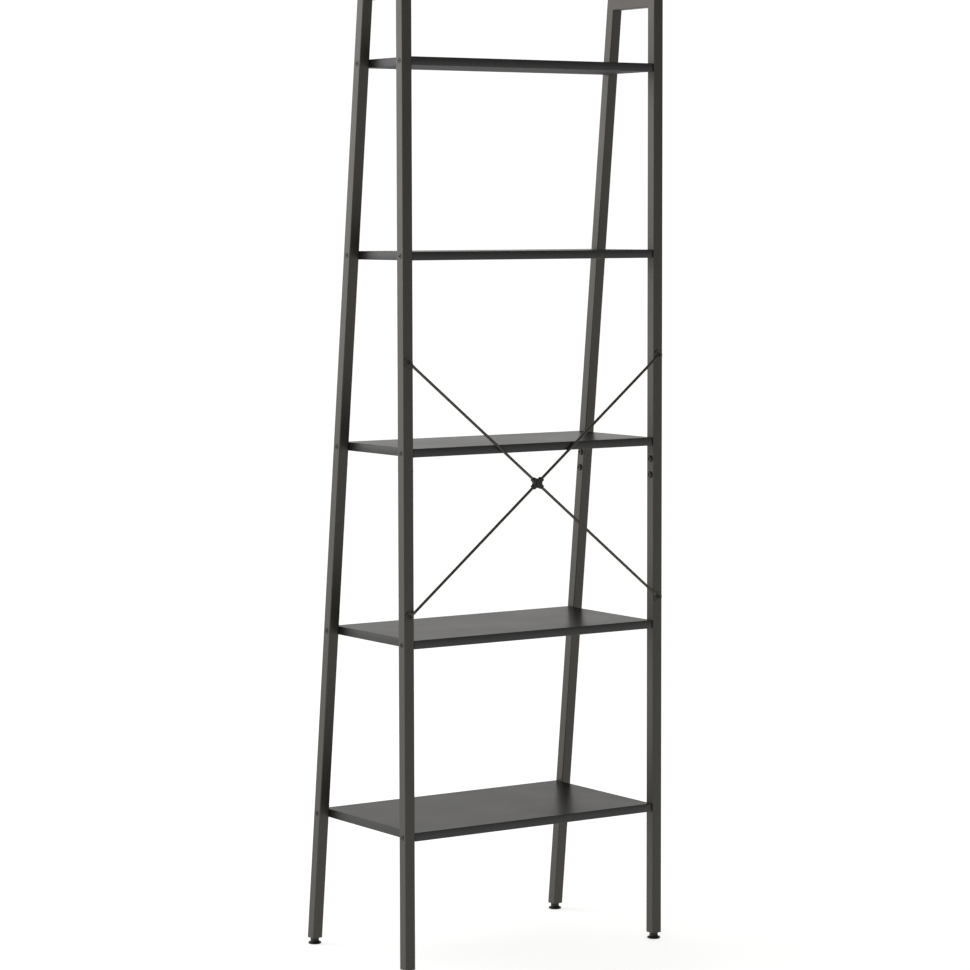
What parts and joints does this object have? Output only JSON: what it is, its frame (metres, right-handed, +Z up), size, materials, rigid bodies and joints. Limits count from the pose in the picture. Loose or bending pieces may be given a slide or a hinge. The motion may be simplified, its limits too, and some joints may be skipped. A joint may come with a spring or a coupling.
{
  "type": "ladder shelf",
  "caption": "Tall black ladder shelf: vertical rear posts, leaning front posts, boards that get deeper towards the floor, a crossed rod brace at the back and levelling feet.",
  "frame": {"origin": "on the floor, under the middle of the bounding box", "axes": "+Z up, +Y towards the straight rear posts and the brace, -Y towards the leaning front posts, +X to the right seen from the front"},
  "size_m": [0.563, 0.3466, 1.725],
  "materials": {
    "black_powder_coat": "satin black powder coat, slightly warm",
    "black_laminate_board": "particle board with black melamine foil, soft satin",
    "black_oxide_steel": "black oxide, oiled",
    "zinc_plated_steel": "bright zinc plate",
    "black_nylon": "moulded black nylon, fine matt texture"
  },
  "bodies": {
    "shelf": {"brace_rod_left_lower": "black_powder_coat", "brace_rod_left_upper": "black_powder_coat", "brace_rod_right_lower": "black_powder_coat", "brace_rod_right_upper": "black_powder_coat", "brace_screws": "black_oxide_steel", "brace_weld_nuts": "zinc_plated_steel", "hub_back_shell": "black_nylon", "hub_front_shell": "black_nylon", "hub_nut": "zinc_plated_steel", "hub_screw": "black_oxide_steel", "left_front_foot_plug": "black_nylon", "left_front_post_lower": "black_powder_coat", "left_front_post_upper": "black_powder_coat", "left_front_shelf_bolts": "black_oxide_steel", "left_front_splice_bolts": "black_oxide_steel", "left_front_splice_sleeve": "black_powder_coat", "left_rear_foot_plug": "black_nylon", "left_rear_post_lower": "black_powder_coat", "left_rear_post_upper": "black_powder_coat", "left_rear_shelf_bolts": "black_oxide_steel", "left_rear_splice_bolts": "black_oxide_steel", "left_rear_splice_sleeve": "black_powder_coat", "left_top_bar": "black_powder_coat", "right_front_foot_plug": "black_nylon", "right_front_post_lower": "black_powder_coat", "right_front_post_upper": "black_powder_coat", "right_front_shelf_bolts": "black_oxide_steel", "right_front_splice_bolts": "black_oxide_steel", "right_front_splice_sleeve": "black_powder_coat", "right_rear_foot_plug": "black_nylon", "right_rear_post_lower": "black_powder_coat", "right_rear_post_upper": "black_powder_coat", "right_rear_shelf_bolts": "black_oxide_steel", "right_rear_splice_bolts": "black_oxide_steel", "right_rear_splice_sleeve": "black_powder_coat", "right_top_bar": "black_powder_coat", "shelf_1_board": "black_laminate_board", "shelf_1_inserts": "zinc_plated_steel", "shelf_2_board": "black_laminate_board", "shelf_2_inserts": "zinc_plated_steel", "shelf_3_board": "black_laminate_board", "shelf_3_inserts": "zinc_plated_steel", "shelf_4_board": "black_laminate_board", "shelf_4_inserts": "zinc_plated_steel", "shelf_5_board": "black_laminate_board", "shelf_5_inserts": "zinc_plated_steel"},
    "left_rear_foot": {"left_rear_foot_base": "black_nylon", "left_rear_foot_stem": "zinc_plated_steel"},
    "left_front_foot": {"left_front_foot_base": "black_nylon", "left_front_foot_stem": "zinc_plated_steel"},
    "right_rear_foot": {"right_rear_foot_base": "black_nylon", "right_rear_foot_stem": "zinc_plated_steel"},
    "right_front_foot": {"right_front_foot_base": "black_nylon", "right_front_foot_stem": "zinc_plated_steel"}
  },
  "joints": [
    {"name": "left_rear_foot_adjust", "type": "slide", "parent": "shelf", "child": "left_rear_foot", "axis": [0, 0, -1], "range_m": [0, 0.008]},
    {"name": "left_front_foot_adjust", "type": "slide", "parent": "shelf", "child": "left_front_foot", "axis": [0, 0, -1], "range_m": [0, 0.008]},
    {"name": "right_rear_foot_adjust", "type": "slide", "parent": "shelf", "child": "right_rear_foot", "axis": [0, 0, -1], "range_m": [0, 0.008]},
    {"name": "right_front_foot_adjust", "type": "slide", "parent": "shelf", "child": "right_front_foot", "axis": [0, 0, -1], "range_m": [0, 0.008]}
  ]
}
